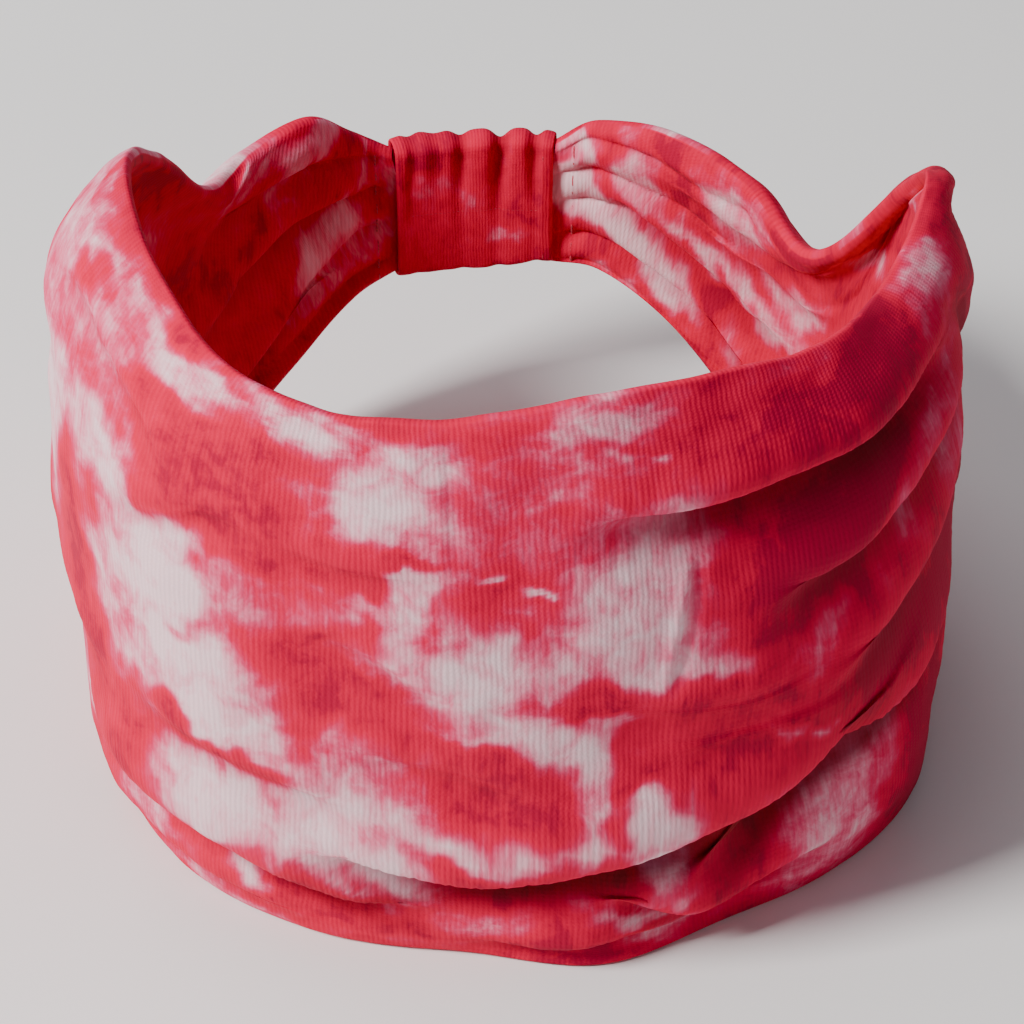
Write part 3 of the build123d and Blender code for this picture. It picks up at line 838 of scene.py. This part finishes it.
def jersey(name, crimson_shift=0.0):
    """Ribbed jersey dyed in patches, with the dye's tone and the cloth's own coordinates read
    from the mesh."""
    tree = Tree(name)
    cloth = tree.add("Attribute", attribute_name="cloth").outputs["Vector"]
    tone = tree.add("Attribute", attribute_name="dye").outputs["Fac"]
    axes = tree.add("SeparateXYZ", {0: cloth})
    # The dye feathers along the wales and mottles between them
    streaks = tree.texture(tree.stretch(cloth, (1.1, 0.11, 1)), 1.0, 3.0, 0.6)
    cloudy = tree.texture(cloth, 0.16, 4.0, 0.62, 0.4)
    specks = tree.texture(tree.stretch(cloth, (1.0, 0.55, 1)), 0.7, 3.0, 0.6)
    mottled = tree.math("MULTIPLY_ADD", tree.math("SUBTRACT", cloudy, 0.5), 0.85)
    tree.set(mottled.node.inputs[2], tone)
    mottled = tree.math("ADD", mottled, tree.math("MULTIPLY", tree.math("SUBTRACT", specks, 0.5), 0.20))
    mottled = tree.math("ADD", mottled, tree.math("MULTIPLY", tree.math("SUBTRACT", streaks, 0.5), 0.26))
    mottled = tree.math("ADD", mottled, crimson_shift)
    colour = tree.ramp(mottled, DYE_AND_SHADE_STOPS)
    # Wales and courses, wandering a little
    wander = tree.math("MULTIPLY", tree.math("SUBTRACT", tree.texture(cloth, 0.12, 2.0), 0.5), 1.2)
    across = tree.math("MULTIPLY", tree.math("ADD", axes.outputs[0], wander), 2 * pi / WALE)
    rib = tree.math("SINE", across)
    stitch = tree.math("SINE", tree.math("MULTIPLY_ADD", axes.outputs[1], 2 * pi / COURSE))
    tree.set(stitch.node.inputs[0].links[0].from_node.inputs[2], tree.math("MULTIPLY", rib, 0.9))
    fuzz = tree.texture(cloth, 2.4, 3.0, 0.7)
    knit = tree.math("ADD", tree.math("MULTIPLY", rib, 0.28), tree.math("MULTIPLY", stitch, 0.12))
    knit = tree.math("ADD", knit, tree.math("MULTIPLY", fuzz, 0.7))
    shade = tree.math("MULTIPLY_ADD", rib, 0.03)
    tree.set(shade.node.inputs[2], 0.965)
    shaded = tree.add("Mix", data_type="RGBA", blend_type="MULTIPLY")
    shaded.inputs["Factor"].default_value = 1.0
    tree.set(shaded.inputs["A"], colour)
    tree.set(shaded.inputs["B"], tree.add("CombineColor", {0: shade, 1: shade, 2: shade}).outputs[0])
    # Painted shade: the cloth below a fold, and in the casing's gather valleys, is darkened, to bring out
    # how deep the fold is
    painted_crease_shade = tree.add("Attribute", attribute_name="painted_crease_shade").outputs["Fac"]
    crease_shade_mix = tree.add("Mix", data_type="RGBA", blend_type="MULTIPLY")
    tree.set(crease_shade_mix.inputs["Factor"], painted_crease_shade)
    tree.set(crease_shade_mix.inputs["A"], shaded.outputs["Result"])
    crease_shade_mix.inputs["B"].default_value = CREASE_SHADE
    bump = tree.add("Bump", {"Strength": 0.55, "Distance": 0.16 * MM, "Height": knit})
    tree.set(tree.shader.inputs["Base Color"], crease_shade_mix.outputs["Result"])
    tree.set(tree.shader.inputs["Normal"], bump.outputs["Normal"])
    tree.set(
        tree.shader.inputs["Roughness"],
        tree.add("MapRange", {"Value": fuzz, "To Min": 0.72, "To Max": 0.92}).outputs[0],
    )
    tree.shader.inputs["Specular IOR Level"].default_value = 0.12
    tree.shader.inputs["Sheen Weight"].default_value = 0.03
    tree.shader.inputs["Sheen Roughness"].default_value = 0.45
    tree.shader.inputs["Sheen Tint"].default_value = (1.0, 0.5, 0.56, 1)
    tree.shader.inputs["Subsurface Weight"].default_value = 0.05
    tree.shader.inputs["Subsurface Radius"].default_value = (1.0, 0.35, 0.3)
    tree.shader.inputs["Subsurface Scale"].default_value = 1.2 * MM
    return tree.material


def thread_finish(name, colour):
    """Two-ply polyester thread: a faint twist and a soft gloss."""
    tree = Tree(name)
    place = tree.add("TexCoord").outputs["Object"]
    twist = tree.add(
        "TexWave",
        {"Vector": place, "Scale": 700.0, "Distortion": 2.0, "Detail": 2.0},
        bands_direction="DIAGONAL",
    ).outputs["Fac"]
    # Painted shade: the twist's grooves are coloured darker
    twist_groove_shade = tuple(0.6 * c for c in colour)
    tree.set(tree.shader.inputs["Base Color"], tree.ramp(twist, [(0.2, twist_groove_shade), (0.8, colour)]))
    bump = tree.add("Bump", {"Strength": 0.4, "Distance": 0.1 * MM, "Height": twist})
    tree.set(tree.shader.inputs["Normal"], bump.outputs["Normal"])
    tree.shader.inputs["Roughness"].default_value = 0.5
    tree.shader.inputs["Sheen Weight"].default_value = 0.2
    return tree.material


def elastic_finish():
    """White braided elastic: ribs along its length over crossing yarns."""
    tree = Tree("elastic_braid")
    place = tree.add("TexCoord").outputs["Object"]
    ribs = tree.add(
        "TexWave", {"Vector": place, "Scale": 260.0, "Distortion": 0.4}, bands_direction="Z"
    ).outputs["Fac"]
    yarns = tree.add(
        "TexWave", {"Vector": place, "Scale": 420.0, "Distortion": 0.8}, bands_direction="X"
    ).outputs["Fac"]
    weave = tree.math("MULTIPLY", ribs, tree.math("MULTIPLY_ADD", yarns, 0.5))
    tree.set(weave.node.inputs[1].links[0].from_node.inputs[2], 0.5)
    # Painted shade: the braid's grooves, where the weave is low, are coloured darker
    colour = tree.ramp(weave, [(0.1, (0.5, 0.48, 0.46)), (0.9, (0.82, 0.80, 0.77))])
    tree.set(tree.shader.inputs["Base Color"], colour)
    bump = tree.add("Bump", {"Strength": 0.6, "Distance": 0.2 * MM, "Height": weave})
    tree.set(tree.shader.inputs["Normal"], bump.outputs["Normal"])
    tree.shader.inputs["Roughness"].default_value = 0.7
    return tree.material


def floor_finish():
    """Pale matt paper with a hint of mottling."""
    tree = Tree("pale_floor")
    place = tree.add("TexCoord").outputs["Object"]
    cloud = tree.texture(place, 4.0, 3.0)
    colour = tree.ramp(cloud, [(0.3, (0.86, 0.84, 0.83)), (0.7, (0.92, 0.905, 0.895))])
    tree.set(tree.shader.inputs["Base Color"], colour)
    tree.shader.inputs["Roughness"].default_value = 0.85
    return tree.material


def finish(piece, material):
    if not piece.data.materials:
        piece.data.materials.append(material)
    for index in range(len(piece.data.materials)):
        piece.material_slots[index].link = "OBJECT"
        piece.material_slots[index].material = material


band_jersey = jersey("tie_dyed_jersey")
casing_jersey = jersey("crimson_jersey")
red_thread = thread_finish("crimson_thread", (0.62, 0.02, 0.06))
finish(band, band_jersey)
finish(casing, casing_jersey)
for piece in (closing_seam, left_gather, right_gather, left_joint, right_joint, casing_seam_thread):
    finish(piece, red_thread)
finish(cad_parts["elastic_band"], elastic_finish())


# ---------------------------------------------------------------- what moves with what

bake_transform(band)
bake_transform(closing_seam)
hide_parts("band_tube")
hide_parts("band_closing_thread")
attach(casing, "back")
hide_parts("casing_tube")
for piece, node in (
    (left_gather, "left_gathering_thread"),
    (right_gather, "right_gathering_thread"),
    (casing_seam_thread, "casing_closing_thread"),
    (left_joint, "left_joint_thread"),
    (right_joint, "right_joint_thread"),
):
    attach(piece, "back")
    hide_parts(node)


# ---------------------------------------------------------------- floor, light and camera

FLOOR = 4000  # half its side, in millimetres
floor = add_mesh(
    "floor",
    [(-FLOOR, -FLOOR, 0), (FLOOR, -FLOOR, 0), (FLOOR, FLOOR, 0), (-FLOOR, FLOOR, 0)],
    [(0, 1, 2, 3)],
)
finish(floor, floor_finish())


def add_light(name, place, size, power, colour):
    """A square softbox that faces the middle of the headband."""
    data = bpy.data.lights.new(name, "AREA")
    data.size = size
    data.energy = power
    data.color = colour
    lamp = bpy.data.objects.new(name, data)
    lamp.location = place
    lamp.rotation_euler = (Vector((0, 0, 0.05)) - Vector(place)).to_track_quat("-Z", "Y").to_euler()
    bpy.context.scene.collection.objects.link(lamp)


add_light("key_light", (-1.12, -0.36, 1.12), 0.42, 38, (1.0, 0.985, 0.97))
add_light("top_light", (-0.4, 0.4, 1.6), 1.2, 7, (1.0, 1.0, 1.0))

world = bpy.data.worlds.new("soft_room")
world.use_nodes = True
world.node_tree.nodes["Background"].inputs["Color"].default_value = (0.9, 0.92, 1.0, 1)
world.node_tree.nodes["Background"].inputs["Strength"].default_value = 0.21
bpy.context.scene.world = world

AZIMUTH = radians(-4.8)
ELEVATION = radians(41)
TARGET = Vector((0, -14, 47)) * MM
DISTANCE = 0.57
forward = Vector((-sin(AZIMUTH) * cos(ELEVATION), cos(AZIMUTH) * cos(ELEVATION), -sin(ELEVATION)))
lens = bpy.data.cameras.new("view_camera")
lens.lens = 111.4
lens.sensor_width = 36
camera = bpy.data.objects.new("view_camera", lens)
camera.location = TARGET - DISTANCE * forward
camera.rotation_euler = forward.to_track_quat("-Z", "Y").to_euler()
bpy.context.scene.collection.objects.link(camera)
bpy.context.scene.camera = camera
